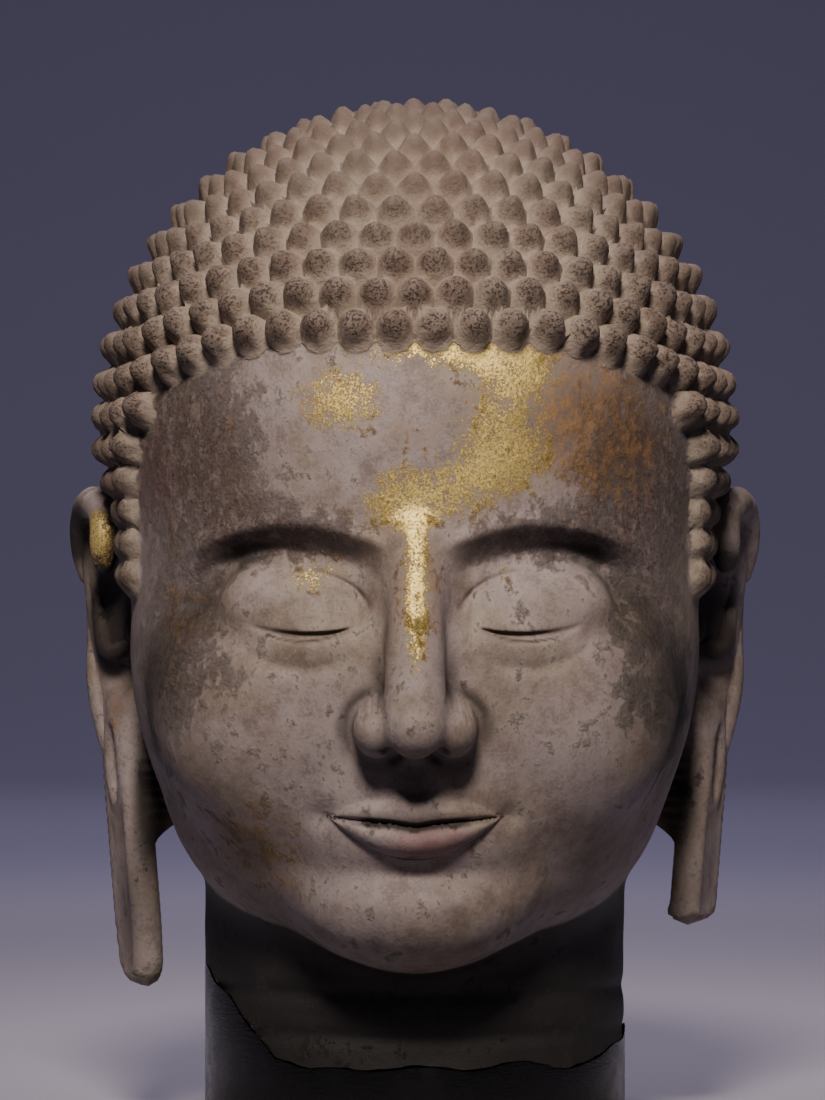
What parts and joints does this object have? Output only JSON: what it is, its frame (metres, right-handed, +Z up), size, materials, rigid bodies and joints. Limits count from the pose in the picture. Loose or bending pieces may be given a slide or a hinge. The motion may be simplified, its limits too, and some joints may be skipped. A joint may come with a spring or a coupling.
{
  "type": "stone bust",
  "caption": "Carved stone head with rows of snail-shell curls and long ears, broken at the neck and held upright by a low black stand shaped to the break.",
  "frame": {"origin": "centre of the stand's flat underside", "axes": "+Z up; the face looks along -Y; +X is towards the head's own left ear"},
  "size_m": [0.3651, 0.3885, 0.5292],
  "materials": {
    "carved_stone": "worn, dusty stone with remains of gilding",
    "black_lacquer": "black satin lacquer"
  },
  "bodies": {
    "root": {"stone_head": "carved_stone", "fitted_stand": "black_lacquer"}
  },
  "joints": []
}
